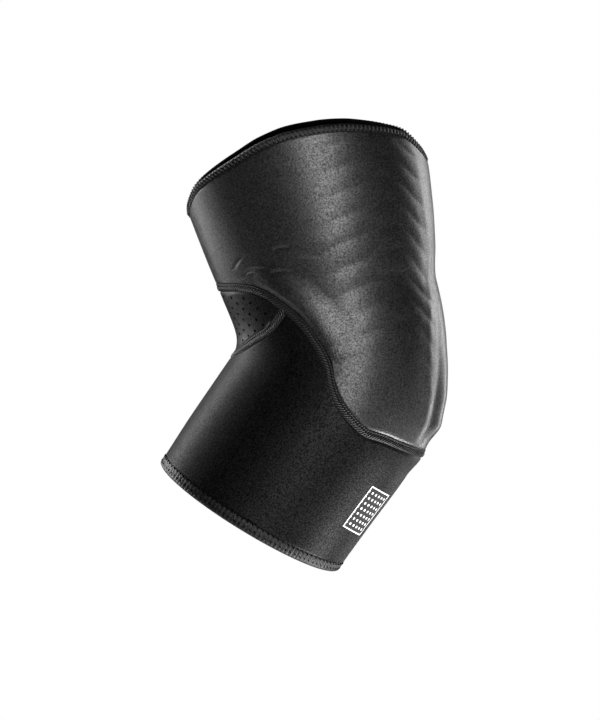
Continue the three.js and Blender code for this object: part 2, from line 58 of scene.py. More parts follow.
# The arm that the sleeve is shaped to, in millimetres and degrees
UPPER_LEAN = 14.6
BEND = 49
CROOK_RADIUS = 16.3
ELBOW_DEPTH = 99.6
ELBOW_WIDTH = 84
UPPER_REACH = 61
LOWER_REACH = 57.6
TOP_FRONT_FLARE = 7.4
TOP_BACK_FLARE = 10.2
TOP_SIDE_FLARE = 5.5
BOTTOM_SIDE_TAPER = 1.5

# Bottom rim
BOTTOM_RISE = 4.4
BOTTOM_SLANT = 2.6
ARCH_SOFTNESS = 0.15

# Cloth. The pad has a steep edge so many degrees wide, and round it a low skirt between two angles.
# Its tail over the seam rises between the first two places and falls between the next two.
WALL = 3
GAP = 0.4
PAD_RISE = 4.6
PAD_EDGE = 11
PAD_SKIRT = (6, 42)
PAD_SKIRT_SHARE = 0.55
PAD_FADE = 13
TAIL_RISE = 2
TAIL_BELOW = (-0.98, -0.86)
TAIL_ABOVE = (-0.84, -0.6)
RIB_PITCH = 11.5
RIB_DEPTH = 1.1
RIB_FADE = 6
RIB_CREST = 0.02
RIB_POWER = 0.35
RIDGE_RISE = 0.3
RIDGE_WIDTH = 2.4
RIDGE_SCALLOP = 0.45
GROOVE_DEPTH = 0.15
GROOVE_WIDTH = 2.4

# Trims, each sunk in the cloth to stand a little over it
TOP_BINDING_WIDTH = 3.6
BOTTOM_BINDING_WIDTH = 5.4
BINDING_THICKNESS = 0.8
BINDING_PROUD = 0.2
HEM_PITCH = 2.2
HEM_PUCKER = 0.22
SEAM_WIDTH = 4.2
SEAM_PROUD = 0.1
SINK = 0.75
SINK_FROM = 0.5
SINK_TO = 0.4
STITCH_PITCH = 1.45
THREADS_ACROSS = 0.55
WELT_ACROSS = -1.35
WELT_SINK = 0.12

# Stitches: from one to the next, across the line, slant along it, rise over it and thread radius
SEAM_STITCH = {"Pitch": STITCH_PITCH, "Across": 2.2, "Slant": -2.1, "Rise": 0.3, "Thread_Radius": 0.27}
WELT_STITCH = {"Pitch": STITCH_PITCH, "Across": 0.8, "Slant": -0.7, "Rise": 0.12, "Thread_Radius": 0.2}
BEAD = {"Pitch": HEM_PITCH, "Across": 1.9, "Slant": 0.5, "Rise": 0.3, "Thread_Radius": 0.42}
NEEDLE_HOLE = {"Pitch": HEM_PITCH, "Across": 0.35, "Slant": 0.75, "Rise": 0.05, "Thread_Radius": 0.26}
WIDE_HOLE = {"Pitch": 2.9, "Across": 0.6, "Slant": 0.9, "Rise": 0.05, "Thread_Radius": 0.28}
# The hems' rows of stitches: how far in from the edge, lift, thread and stitch
# The rows in sunk thread are near-black dimples: painted shade in the needle holes.
TOP_ROWS = [
    {"into": 1.5, "lift": -0.15, "thread": "black_thread", "sizes": BEAD},
    {"into": 3.1, "lift": -0.12, "thread": "sunk_thread", "sizes": NEEDLE_HOLE},
]
BOTTOM_ROWS = [
    {"into": 2.4, "lift": -0.12, "thread": "sunk_thread", "sizes": WIDE_HOLE},
    {"into": 5.0, "lift": -0.12, "thread": "sunk_thread", "sizes": WIDE_HOLE},
]

# Air holes, in rows that slant down from the crook to each side
HOLE_RADIUS = 0.75
HOLE_SPACING = 4.5
HOLE_ROW_PITCH = 5.9
HOLE_ROWS_FROM = -3
HOLE_ROWS_TO = 3
HOLE_ROW_SHIFT = 0.4
HOLE_MARGIN = 3.6
HOLE_SIDES = 12

# The print on the forearm: a plain light frame round rows of dots
PATCH = {"around": (15.9, 39.8), "place": (-1.17, -1.585)}
PATCH_FILM = 0.12
PATCH_FRAME = 0.6
PATCH_DOT_PITCH = 3
PATCH_DOT_RADIUS = 0.66

SECTIONS = {
    "place": [-2.6, -2, -1.5, -1, -0.5, 0, 0.3, 0.6, 1, 1.6, 2.2],
    "front": [0, 0.05, 0.14, 0.14, 0.03, 0, 0.28, 0.62, 1, 1.5, 2],
    "back": [-0.1, -0.05, 0.02, 0.12, 0, 0, 0.37, 0.7, 1, 1.1, 1.15],
    "side": [0, 0, 0.02, 0, 0, 0.02, 0.3, 0.7, 1, 1.3, 1.5],
    "taper": [1.4, 1, 0.35, 0.05, 0, 0, 0, 0, 0, 0, 0],
}
# How far the top rim stands above the place 1, in millimetres
TOP_RIM = {
    "around": [0, 15, 30, 42, 52, 65, 78, 92, 105, 120, 135, 150, 165, 180],
    "over": [-1.5, 4.6, 13.5, 17.6, 20.9, 24.7, 26.9, 27.8, 26.2, 22, 17.8, 13.2, 6.8, 1.7],
}
LONG_SEAM = {
    "around": [0, 50, 64, 74, 85, 91.5, 97, 102, 106.5, 111, 116, 121, 127, 136, 152, 180],
    "place": [
        -0.846, -0.852, -0.868, -0.838, -0.76, -0.655, -0.465, -0.325,
        -0.19, -0.03, 0.085, 0.17, 0.26, 0.33, 0.37, 0.385,
    ],
}
# The vent's corner on the long seam, and how far past it the threads of the short seam start
VENT_CORNER = 117.5
THREADS_FROM_CORNER = 2.5
VENT_SEAM = {
    "around": [117.5, 121, 127, 135, 146, 159, 170, 180],
    "place": [0.115, 0.083, 0.022, -0.065, -0.195, -0.42, -0.66, -0.76],
}
# The ribs' lines round the arm: rise in rib pitches, and strength as a share of the rib depth
RIB_LINE = {
    "around": [0, 15, 25, 32, 40, 48, 56, 72, 82, 90, 100, 112, 130, 180],
    "rise": [-1.5, -1.45, -1.2, -0.8, -0.15, 0.3, 0.42, 0.28, 0.18, 0.02, 0.1, 0.5, 1, 1.2],
    "strength": [0, 0, 0.2, 0.4, 0.42, 0.36, 0.28, 0.26, 0.26, 0.22, 0.15, 0.08, 0, 0],
}
RIBS_FULL_ABOVE = -0.1
RIBS_NONE_BELOW = -0.5
# The pad down the back: half its width in degrees, and its height as a share of PAD_RISE
PAD = {
    "place": [-1, -0.85, -0.8, -0.745, -0.68, -0.6, -0.45, -0.3, 0, 0.3, 0.6, 1],
    "reach": [22, 22, 21.5, 21.5, 20, 20.5, 21, 21.5, 19, 17, 14, 12],
    "height": [0, 0.1, 0.4, 0.75, 0.95, 0.95, 0.6, 0.25, 0.02, 0.08, 0.12, 0.1],
}
# The scalloped ridge along each side of the back, and the groove between it and the pad
RIDGE = {
    "place": [-0.85, -0.76, -0.69, -0.58, -0.5, -0.4, -0.26, -0.125, 0, 0.3, 0.635, 1.1],
    "around": [27.5, 26, 25.2, 25.5, 28.5, 30.5, 31.5, 28.5, 24, 19.2, 23.8, 26],
    "strength": [0.6, 0.9, 1, 1, 1, 1, 1, 1, 0.9, 0.8, 0.7, 0.3],
}
BACK_GROOVE = {
    "place": [-0.85, -0.775, -0.7, -0.6, -0.5, -0.33, -0.13, 0.1, 0.4],
    "around": [22, 21.5, 19.5, 20, 20.5, 21.5, 19.5, 16, 12],
    "strength": [0.8, 1, 1, 1, 1, 1, 0.9, 0.5, 0],
}
# The cloth swells over this stretch of the long seam, by the crook, and drops steeply to it
SWELL_STRETCH = (97, 134)
SWELL_RISE = 2.1
SWELL_UNDER_SEAM = 0.6
SWELL_TOP = 5.5
SWELL_END = 19
# Creases of the upper cloth, each along a line of spots, with its half width and its depth.
# Beside a crease the cloth swells by a share of its depth, over a multiple of its width.
CREASE_SWELL = 0.3
CREASE_SWELL_WIDTH = 2.5
CREASES = [
    {"around": [132, 138, 144], "place": [0.602, 0.56, 0.5], "width": 0.8, "depth": 0.45},
    {"around": [138, 134, 129, 120], "place": [0.43, 0.47, 0.48, 0.452], "width": 0.9, "depth": 0.6},
    {"around": [120, 114, 108], "place": [0.415, 0.41, 0.38], "width": 1.2, "depth": 0.6},
    {"around": [103, 97, 91], "place": [0.49, 0.475, 0.452], "width": 0.7, "depth": 0.35},
    {"around": [115, 110, 105], "place": [0.58, 0.59, 0.572], "width": 1, "depth": 0.4},
]

# The cloths and threads: colours, roughness, specular level (shine), coat on the brightest fibres (gloss),
# sheen, and in metres the width of a knitted loop and the depth of the relief
# The lining finish is near-black: painted shade of the unlit inside of the sleeve.
FINISHES = {
    # The sunk thread is near-black: painted shade in the stitch holes.
    "name": [
        "ribbed_knit", "smooth_knit", "vent_knit", "edge_knit",
        "seam_base", "black_thread", "sunk_thread", "black_lining",
    ],
    "cloth": [0.0005, 0.0003, 0.0005, 0.002, 0.001, 0.01, 0.0004, 0.0003],
    "fibre": [0.03, 0.014, 0.012, 0.03, 0.008, 0.06, 0.001, 0.0006],
    "roughness": [0.37, 0.44, 0.45, 0.45, 0.6, 0.4, 0.9, 0.9],
    "shine": [0.3, 0.03, 0.1, 0.25, 0.3, 0.7, 0.05, 0.05],
    "gloss": [0.42, 0.1, 0.09, 0.07, 0, 0, 0, 0],
    "sheen": [0, 0.16, 0, 0, 0, 0, 0, 0],
    "loop": [0.0009, 0.0011, 0.0008, 0.0006, 0.0005, 0.0003, 0.0003, 0.0008],
    "bump": [0.00006, 0.00006, 0.00004, 0.00004, 0.00004, 0.00004, 0.00004, 0.00004],
}
COAT_IOR = 2.4
COAT_SMOOTHER = 0.04
FAINTEST_GLOSS = 0.2
SHEEN_ROUGHNESS = 0.35
LOOP_HEIGHT_SHARE = 0.85
RELIEF_STRENGTH = 0.9

# Rectangular lamps that face the brace, in degrees, metres and watts.
# Azimuth 0 stands where the camera does and 90 on the +X side.
LAMPS = {
    "name": ["front_light", "left_strip", "right_strip", "low_right_light"],
    "azimuth": [14, -119, 132, 80],
    "elevation": [9, 15, -6, -62],
    "distance": [2.4, 1.6, 1.6, 1.2],
    "width": [0.9, 0.6, 0.6, 0.55],
    "height": [2.0, 1.8, 1.6, 0.8],
    "power": [35, 40, 16, 26],
}
ROOM_GLOW = 0.02
FLOOR_HEIGHT = -1.4

# The camera stands where the photo was taken from, far off with a long lens
CAMERA_DISTANCE = 4.5
CAMERA_ELEVATION = 3.2
VIEW_CENTRE = Vector((-0.0185, 0, 0.0026))
VIEW_HEIGHT = 0.3456
SENSOR = 36


def rows_of(table):
    return [dict(zip(table, row)) for row in zip(*table.values())]


def curve_through(table, key, column):
    """A smooth curve through one column of a table, which overshoots no row and slopes at neither end."""
    x = np.array(table[key], float)
    y = np.array(table[column], float)
    slopes = np.diff(y) / np.diff(x)
    tangents = np.zeros(len(x))
    product = slopes[:-1] * slopes[1:]
    total = slopes[:-1] + slopes[1:]
    rising = product > 0
    tangents[1:-1][rising] = 2 * product[rising] / total[rising]

    def curve(at):
        inside = np.clip(at, x[0], x[-1])
        i = np.clip(np.searchsorted(x, inside, side="right") - 1, 0, len(x) - 2)
        span = x[i + 1] - x[i]
        t = (inside - x[i]) / span
        back = 1 - t
        ends = y[i] * back**2 * (1 + 2 * t) + y[i + 1] * t**2 * (3 - 2 * t)
        return ends + span * t * back * (tangents[i] * back - tangents[i + 1] * t)

    return curve


front_share = curve_through(SECTIONS, "place", "front")
back_share = curve_through(SECTIONS, "place", "back")
side_share = curve_through(SECTIONS, "place", "side")
taper_share = curve_through(SECTIONS, "place", "taper")
top_rim_over = curve_through(TOP_RIM, "around", "over")
long_seam = curve_through(LONG_SEAM, "around", "place")
vent_seam_free = curve_through(VENT_SEAM, "around", "place")
rib_rise = curve_through(RIB_LINE, "around", "rise")
rib_strength = curve_through(RIB_LINE, "around", "strength")
pad_reach = curve_through(PAD, "place", "reach")
pad_height = curve_through(PAD, "place", "height")
ridge_line = curve_through(RIDGE, "place", "around")
ridge_strength = curve_through(RIDGE, "place", "strength")
groove_line = curve_through(BACK_GROOVE, "place", "around")
groove_strength = curve_through(BACK_GROOVE, "place", "strength")
MID_RADIUS = CROOK_RADIUS + ELBOW_DEPTH / 2
BEND_TURN = math.radians(BEND)


def smoothstep(x, low, high):
    t = np.clip((x - low) / (high - low), 0, 1)
    return t * t * (3 - 2 * t)


def hump(away, width):
    return np.exp(-((away / width) ** 2))


def folded(around):
    """The angle from the point of the elbow, the same on both sides: 0 to 180."""
    return np.abs((around + 180) % 360 - 180)


def unit(v):
    return v / np.maximum(np.linalg.norm(v, axis=-1, keepdims=True), 1e-12)


def section_axes(place):
    """Directions of the section at a place: backward across the arm and upward along it."""
    lean = math.radians(UPPER_LEAN) + np.clip(place, -1, 0) * BEND_TURN
    zero = np.zeros_like(lean)
    backward = np.stack([np.cos(lean), zero, np.sin(lean)], axis=-1)
    upward = np.stack([-np.sin(lean), zero, np.cos(lean)], axis=-1)
    return backward, upward


PIVOT = -MID_RADIUS * section_axes(np.array(-0.5))[0]


def skin_point(around, place):
    around, place = np.broadcast_arrays(np.asarray(around, float), np.asarray(place, float))
    backward, upward = section_axes(place)
    along = np.maximum(place, 0) * UPPER_REACH + np.minimum(place + 1, 0) * LOWER_REACH
    front = CROOK_RADIUS - TOP_FRONT_FLARE * front_share(place)
    back = CROOK_RADIUS + ELBOW_DEPTH + TOP_BACK_FLARE * back_share(place)
    half_width = ELBOW_WIDTH / 2 + TOP_SIDE_FLARE * side_share(place)
    half_width = half_width - BOTTOM_SIDE_TAPER * taper_share(place)
    turn = np.radians(around)
    reach = (front + back) / 2 + (back - front) / 2 * np.cos(turn)
    across = np.stack([np.zeros_like(turn), -half_width * np.sin(turn), np.zeros_like(turn)], axis=-1)
    return PIVOT + across + reach[..., None] * backward + along[..., None] * upward


def skin_slopes(around, place):
    """How the skin runs at a spot: its step per degree round the arm and per unit of place, and outward."""
    small_turn, small_place = 0.05, 0.0005
    per_degree = skin_point(around + small_turn, place) - skin_point(around - small_turn, place)
    per_place = skin_point(around, place + small_place) - skin_point(around, place - small_place)
    outward = unit(np.cross(per_place, per_degree))
    return per_degree / (2 * small_turn), per_place / (2 * small_place), outward


def pad_tail(around, place):
    """How far all the cloth swells out where the pad runs over the long seam at the back."""
    lengthwise = smoothstep(place, *TAIL_BELOW) * (1 - smoothstep(place, *TAIL_ABOVE))
    return TAIL_RISE * lengthwise * (1 - smoothstep(folded(around), *PAD_SKIRT))


def over_skin(around, place, height):
    """Points over the skin, or inside the wall where height is below 0."""
    outward = skin_slopes(around, place)[2]
    lifted = np.asarray(height, float) + pad_tail(around, place)
    return skin_point(around, place) + outward * lifted[..., None]


def beside(around, place, distance, closed):
    """A line on the skin moved sideways by an even distance, towards the forearm if that is above 0."""
    points = skin_point(around, place)
    if closed:
        before, after = np.roll(points, 1, axis=0), np.roll(points, -1, axis=0)
    else:
        before = np.concatenate([2 * points[:1] - points[1:2], points[:-1]])
        after = np.concatenate([points[1:], 2 * points[-1:] - points[-2:-1]])
    per_degree, per_place, outward = skin_slopes(around, place)
    one = unit(np.cross(outward, points - before))
    two = unit(np.cross(outward, after - points))
    side = one + two
    step = side * (2 * distance / np.maximum((side**2).sum(-1), 1e-9))[:, None]
    dd, pp = (per_degree**2).sum(-1), (per_place**2).sum(-1)
    dp = (per_degree * per_place).sum(-1)
    ds, ps = (per_degree * step).sum(-1), (per_place * step).sum(-1)
    whole = dd * pp - dp * dp
    return around + (ds * pp - ps * dp) / whole, place + (ps * dd - ds * dp) / whole


def even_spots(place_at, start, end, steps):
    """Evenly spaced spots on a line given as place by angle."""
    fine_steps = 1200
    fine = np.linspace(start, end, fine_steps)
    points = skin_point(fine, place_at(fine))
    reach = np.concatenate([[0], np.cumsum(np.linalg.norm(np.diff(points, axis=0), axis=1))])
    around = np.interp(np.linspace(0, reach[-1], steps + 1), reach, fine)
    return around, place_at(around)


def line_length(around, place):
    return np.linalg.norm(np.diff(skin_point(around, place), axis=0), axis=1).sum()


def mirrored_ring(around, place):
    """A whole ring from its half on the -Y side, which runs from 0 to 180 degrees."""
    return np.concatenate([around, 360 - around[-2:0:-1]]), np.concatenate([place, place[-2:0:-1]])


def both_sides(around, place):
    """A line over the crook from its half on the -Y side, which ends at 180 degrees."""
    return np.concatenate([around, 360 - around[-2::-1]]), np.concatenate([place, place[-2::-1]])


def top_rim(around):
    return 1 + top_rim_over(folded(around)) / UPPER_REACH


def bottom_rim(around):
    highest = math.hypot(1, ARCH_SOFTNESS) - ARCH_SOFTNESS
    arch = (np.hypot(np.sin(np.radians(around)), ARCH_SOFTNESS) - ARCH_SOFTNESS) / highest
    under = BOTTOM_RISE * arch - BOTTOM_SLANT * np.cos(np.radians(around))
    return -2 - under / LOWER_REACH


def vent_seam(around):
    """The short seam, drawn so that it starts on the long one."""
    shift = long_seam(VENT_CORNER) - vent_seam_free(VENT_CORNER)
    return vent_seam_free(around) + shift * (180 - around) / (180 - VENT_CORNER)


def above_seam(around, place):
    """Distance from the long seam up to a spot, square to the seam."""
    angle = folded(around)
    per_degree, per_place, _ = skin_slopes(around, place)
    slope = (long_seam(angle + 1) - long_seam(angle - 1)) / 2
    run = np.linalg.norm(per_degree, axis=-1)
    rise = slope * np.linalg.norm(per_place, axis=-1)
    return (place - long_seam(angle)) * np.linalg.norm(per_place, axis=-1) * run / np.hypot(run, rise)


def rib_number(around, place):
    """How many ribs lie between a spot and the start of the bend."""
    bent = BEND_TURN * (MID_RADIUS + ELBOW_DEPTH / 2 * np.cos(np.radians(around)))
    length = np.where(place >= 0, UPPER_REACH, bent)
    return place * length / RIB_PITCH - rib_rise(folded(around))


def off_line(around, place, line_around, line_place):
    """How far each spot lies from a short line, and how far along the line its nearest point is."""
    per_degree, per_place, _ = skin_slopes(line_around.mean(), line_place.mean())
    across = (folded(around)[..., None] - line_around) * np.linalg.norm(per_degree)
    along = (place[..., None] - line_place) * np.linalg.norm(per_place)
    away = np.hypot(across, along)
    share = np.linspace(0, 1, len(line_around))
    return away.min(axis=-1), share[away.argmin(axis=-1)]


def faded_ends(share):
    """A strength that fades to nothing at both ends of a line."""
    return np.sin(math.pi * share) ** 0.8


def creases(around, place):
    """How far the cloth is drawn in at its creases. It swells a little beside each one."""
    depth = np.zeros_like(around)
    spots = 33
    for crease in CREASES:
        share = np.linspace(0, 1, spots)
        rows = np.linspace(0, 1, len(crease["around"]))
        line_around = np.interp(share, rows, crease["around"])
        line_place = np.interp(share, rows, crease["place"])
        away, nearest = off_line(around, place, line_around, line_place)
        beside_it = hump(away, CREASE_SWELL_WIDTH * crease["width"])
        shape = hump(away, crease["width"]) - CREASE_SWELL * beside_it
        depth += crease["depth"] * faded_ends(nearest) * shape
    return depth


def seam_swell(around, place):
    spots = 49
    line = np.linspace(*SWELL_STRETCH, spots)
    away, nearest = off_line(around, place, line, long_seam(line))
    start = SEAM_WIDTH / 2 - SWELL_UNDER_SEAM
    up = smoothstep(away, start, SWELL_TOP) * (1 - smoothstep(away, SWELL_TOP, SWELL_END))
    return SWELL_RISE * faded_ends(nearest) * up


def sunk(distance, width):
    """How far the cloth lies in under a trim of this width, at a distance from the trim's line."""
    return SINK * (1 - smoothstep(distance, width - SINK_FROM, width + SINK_TO))


def upper_relief(around, place):
    """How far the upper cloth stands over the skin: ribs, pad, ridges and creases, sunk along its edges."""
    angle = folded(around)
    below_rim = (top_rim(around) - place) * UPPER_REACH
    from_seam = above_seam(around, place)
    clear = smoothstep(below_rim, TOP_BINDING_WIDTH, TOP_BINDING_WIDTH + RIB_FADE)
    near = smoothstep(from_seam, SEAM_WIDTH / 2, SEAM_WIDTH / 2 + RIB_FADE)
    strength = rib_strength(angle) * smoothstep(place, RIBS_NONE_BELOW, RIBS_FULL_ABOVE)
    between = np.abs(np.cos(math.pi * rib_number(around, place)))
    rib = (between**2 + RIB_CREST) ** RIB_POWER
    reach = pad_reach(place)
    pad = (1 - PAD_SKIRT_SHARE) * (1 - smoothstep(angle, reach - PAD_EDGE, reach))
    pad = pad_height(place) * (pad + PAD_SKIRT_SHARE * (1 - smoothstep(angle, *PAD_SKIRT)))
    padded = PAD_RISE * pad * smoothstep(from_seam, SEAM_WIDTH / 2, SEAM_WIDTH / 2 + PAD_FADE)
    per_degree = ELBOW_WIDTH / 2 * math.pi / 180
    scallop = 1 - RIDGE_SCALLOP + RIDGE_SCALLOP * between
    ridge = ridge_strength(place) * hump((angle - ridge_line(place)) * per_degree, RIDGE_WIDTH)
    groove = groove_strength(place) * hump((angle - groove_line(place)) * per_degree, GROOVE_WIDTH)
    moulded = RIDGE_RISE * scallop * ridge - GROOVE_DEPTH * groove
    swell = seam_swell(around, place)
    edges = sunk(below_rim, TOP_BINDING_WIDTH) + sunk(from_seam, SEAM_WIDTH / 2)
    raised = clear * near * (RIB_DEPTH * strength * rib + moulded) + padded + swell
    return raised - creases(around, place) - edges


def new_object(name, data, material=None):
    obj = bpy.data.objects.new(name, data)
    bpy.context.scene.collection.objects.link(obj)
    if material is not None:
        data.materials.append(material)
    return obj


def body_mesh(name, grid, uv, ring, lining_from=None):
    """A closed body from a run of loops of points in millimetres, with its UV map called cloth.
    A ring joins its last loop to its first. An open run gets a flat end at each side. The points of a loop
    from lining_from on are the lining, which takes the second material."""
    runs, size = grid.shape[:2]
    bands = runs if ring else runs - 1
    i, k = np.meshgrid(np.arange(bands), np.arange(size), indexing="ij")
    corners = [(i, k), (i + 1, k), (i + 1, k + 1), (i, k + 1)]
    faces = np.stack([(a % runs) * size + b % size for a, b in corners], axis=-1).reshape(-1, 4)
    mesh = bpy.data.meshes.new(name)
    ends = [] if ring else [list(range(size)), list(range((runs - 1) * size, runs * size))[::-1]]
    mesh.from_pydata((grid.reshape(-1, 3) * MM).tolist(), [], faces.tolist() + ends)
    if lining_from is not None:
        lining = (k >= lining_from).ravel().astype(np.int32)
        mesh.polygons.foreach_set("material_index", np.concatenate([lining, np.zeros(len(ends), np.int32)]))
    layer = mesh.uv_layers.new(name="cloth")
    values = np.zeros((len(mesh.loops), 2))
    wide = np.stack([uv[a, np.minimum(b, size - 1)] for a, b in corners], axis=-2).reshape(-1, 2)
    values[: len(wide)] = wide * MM
    layer.data.foreach_set("uv", values.ravel())
    same_spot, no_length, sharp_degrees = 1e-7, 1e-8, 50
    built = bmesh.new()
    built.from_mesh(mesh)
    bmesh.ops.remove_doubles(built, verts=built.verts, dist=same_spot)
    bmesh.ops.dissolve_degenerate(built, edges=built.edges, dist=no_length)
    if built.calc_volume(signed=True) < 0:
        bmesh.ops.reverse_faces(built, faces=built.faces)
    for face in built.faces:
        face.smooth = True
    built.to_mesh(mesh)
    built.free()
    mesh.set_sharp_from_angle(angle=math.radians(sharp_degrees))
    return mesh


def cloth_uv(grid):
    """Lengths on the cloth in millimetres: round the arm by the middle row, down the arm by each column."""
    closed = np.concatenate([grid, grid[:1]])
    middle = closed[:, grid.shape[1] // 4]
    around = np.concatenate([[0], np.cumsum(np.linalg.norm(np.diff(middle, axis=0), axis=1))])
    steps = np.linalg.norm(np.diff(closed, axis=1), axis=2)
    down = np.concatenate([np.zeros((len(closed), 1)), np.cumsum(steps, axis=1)], axis=1)
    return np.stack([np.broadcast_to(around[:, None], down.shape), down], axis=-1)


def wall(name, top, bottom, rows, lining_rows, relief, ring=True):
    """A wall between two lines of spots: rows outside, then rows back up the inside."""
    shares = np.concatenate([np.linspace(0, 1, rows + 1), np.linspace(1, 0, lining_rows + 1)])
    around = top[0][:, None] * (1 - shares) + bottom[0][:, None] * shares
    place = top[1][:, None] * (1 - shares) + bottom[1][:, None] * shares
    outside = np.arange(len(shares)) <= rows
    heights = np.where(outside, 0.0, -float(WALL)) * np.ones_like(around)
    heights[:, : rows + 1] += relief(around[:, : rows + 1], place[:, : rows + 1])
    grid = over_skin(around, place, heights)
    return body_mesh(name, grid, cloth_uv(grid), ring, rows + 1)


def strip(name, line, section, ring):
    """A body that follows a line on the skin. section gives across and height for each corner."""
    lanes = [beside(line[0], line[1], across, ring) for across, _ in section]
    points = [over_skin(a, p, h * np.ones(len(a))) for (a, p), (_, h) in zip(lanes, section)]
    grid = np.stack(points, axis=1)
    return body_mesh(name, grid, cloth_uv(grid), ring)


def finish_piece(obj, slot, *nodes):
    """Rides on the body and takes the place of the CAD's nodes. Its named finish, slot, is not used."""
    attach(obj, BODY)
    if nodes:
        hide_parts(*nodes)
    return obj


# Materials


def group_input(tree, name, kind, value=None):
    socket = tree.interface.new_socket(name=name, in_out="INPUT", socket_type=kind)
    if value is not None:
        socket.default_value = value


def group_output(tree, name, kind):
    tree.interface.new_socket(name=name, in_out="OUTPUT", socket_type=kind)


def link_pairs(tree, *pairs):
    for a, b in pairs:
        tree.links.new(a, b)


def give(tree, socket, value):
    """Sets a socket to a value, or links it to another node's output."""
    if hasattr(value, "is_output"):
        tree.links.new(value, socket)
    else:
        socket.default_value = value


def fill(tree, node, **inputs):
    """Gives a node its inputs by their names."""
    for key, value in inputs.items():
        give(tree, node.inputs[key.replace("_", " ")], value)
    return node


def add_node(tree, kind, **inputs):
    return fill(tree, tree.nodes.new(kind), **inputs)


def math_node(tree, operation, *values):
    node = tree.nodes.new("ShaderNodeMath")
    node.operation = operation
    for socket, value in zip(node.inputs, values):
        give(tree, socket, value)
    return node.outputs[0]


def color_mix(tree, amount, first, second):
    mix = tree.nodes.new("ShaderNodeMix")
    mix.data_type = "RGBA"
    for socket, value in zip((mix.inputs["Factor"], *mix.inputs[6:8]), (amount, first, second)):
        give(tree, socket, value)
    return mix.outputs[2]


def cloth_map(tree):
    """Lengths round the arm and down it, in metres, and the vector that holds both."""
    cloth = tree.nodes.new("ShaderNodeUVMap")
    cloth.uv_map = "cloth"
    split = add_node(tree, "ShaderNodeSeparateXYZ", Vector=cloth.outputs[0])
    return split.outputs[0], split.outputs[1], cloth.outputs[0]


def knit_group():
    """Rows of knitted loops on the cloth map: a height, and a colour that is darker between the loops."""
    tree = bpy.data.node_groups.new("knit_face", "ShaderNodeTree")
    group_input(tree, "Loop Width", "NodeSocketFloat", 0.0008)
    group_input(tree, "Loop Height", "NodeSocketFloat", 0.0007)
    group_input(tree, "Cloth Color", "NodeSocketColor", (0.02, 0.02, 0.02, 1))
    group_input(tree, "Fibre Color", "NodeSocketColor", (0.06, 0.06, 0.06, 1))
    group_input(tree, "Mottle Size", "NodeSocketFloat", 0.004)
    group_output(tree, "Color", "NodeSocketColor")
    group_output(tree, "Height", "NodeSocketFloat")
    group_output(tree, "Speck", "NodeSocketFloat")
    inside = tree.nodes.new("NodeGroupInput").outputs
    outside = tree.nodes.new("NodeGroupOutput").inputs

    def calc(operation, *values):
        return math_node(tree, operation, *values)

    leg_slant, fullness = 0.45, 0.6
    fuzz_scale, fuzz_height = 1300, 0.8
    speck_from, speck_to = 0.36, 0.66
    across, down, _ = cloth_map(tree)
    column = calc("DIVIDE", across, inside["Loop Width"])
    row = calc("DIVIDE", down, inside["Loop Height"])
    sideways = calc("ABSOLUTE", calc("SINE", calc("MULTIPLY", column, math.pi)))
    legs = calc("MULTIPLY", sideways, leg_slant)
    rows = calc("SINE", calc("MULTIPLY", calc("ADD", row, legs), 2 * math.pi))
    loops = calc("POWER", sideways, fullness)
    height = calc("MULTIPLY", loops, calc("MULTIPLY_ADD", rows, 0.5, 0.5))
    place = tree.nodes.new("ShaderNodeTexCoord").outputs["Object"]
    scale = calc("DIVIDE", 1.0, inside["Mottle Size"])
    mottle = add_node(tree, "ShaderNodeTexNoise", Vector=place, Scale=scale, Detail=3).outputs["Fac"]
    fuzz = add_node(tree, "ShaderNodeTexNoise", Vector=place, Scale=fuzz_scale, Detail=2).outputs["Fac"]
    spread = add_node(tree, "ShaderNodeMapRange", Value=fuzz, From_Min=speck_from, From_Max=speck_to)
    speck = spread.outputs[0]
    lit = calc("MULTIPLY", speck, calc("ADD", mottle, 0.5))
    amount = calc("MULTIPLY", lit, calc("MULTIPLY_ADD", height, 0.6, 0.4))
    link_pairs(
        tree,
        (color_mix(tree, amount, inside["Cloth Color"], inside["Fibre Color"]), outside["Color"]),
        (calc("ADD", height, calc("MULTIPLY", fuzz, fuzz_height)), outside["Height"]),
        (speck, outside["Speck"]),
    )
    return tree


def cloth_material(group, name, cloth, fibre, roughness, shine, gloss, sheen, loop, bump):
    """A face of knitted loops, from one row of FINISHES."""
    material = bpy.data.materials.new(name)
    material.use_nodes = True
    tree = material.node_tree
    knit = tree.nodes.new("ShaderNodeGroup")
    knit.node_tree = group
    fill(
        tree,
        knit,
        Loop_Width=loop,
        Loop_Height=loop * LOOP_HEIGHT_SHARE,
        Cloth_Color=(cloth, cloth, cloth, 1),
        Fibre_Color=(fibre, fibre, fibre, 1),
    )
    relief = add_node(
        tree, "ShaderNodeBump", Distance=bump, Strength=RELIEF_STRENGTH, Height=knit.outputs["Height"]
    )
    faintest = gloss * FAINTEST_GLOSS
    glint = add_node(
        tree, "ShaderNodeMapRange", Value=knit.outputs["Speck"], To_Min=faintest, To_Max=gloss
    )
    fill(
        tree,
        tree.nodes["Principled BSDF"],
        Base_Color=knit.outputs["Color"],
        Normal=relief.outputs[0],
        Coat_Weight=glint.outputs[0],
        Roughness=roughness,
        Coat_Roughness=roughness - COAT_SMOOTHER,
        Coat_IOR=COAT_IOR,
        Specular_IOR_Level=shine,
        Sheen_Weight=sheen,
        Sheen_Roughness=SHEEN_ROUGHNESS,
    )
    return material


# Stitches


def outward_attribute(tree):
    named = tree.nodes.new("GeometryNodeInputNamedAttribute")
    named.data_type = "FLOAT_VECTOR"
    named.inputs["Name"].default_value = "outward"
    return named.outputs["Attribute"]


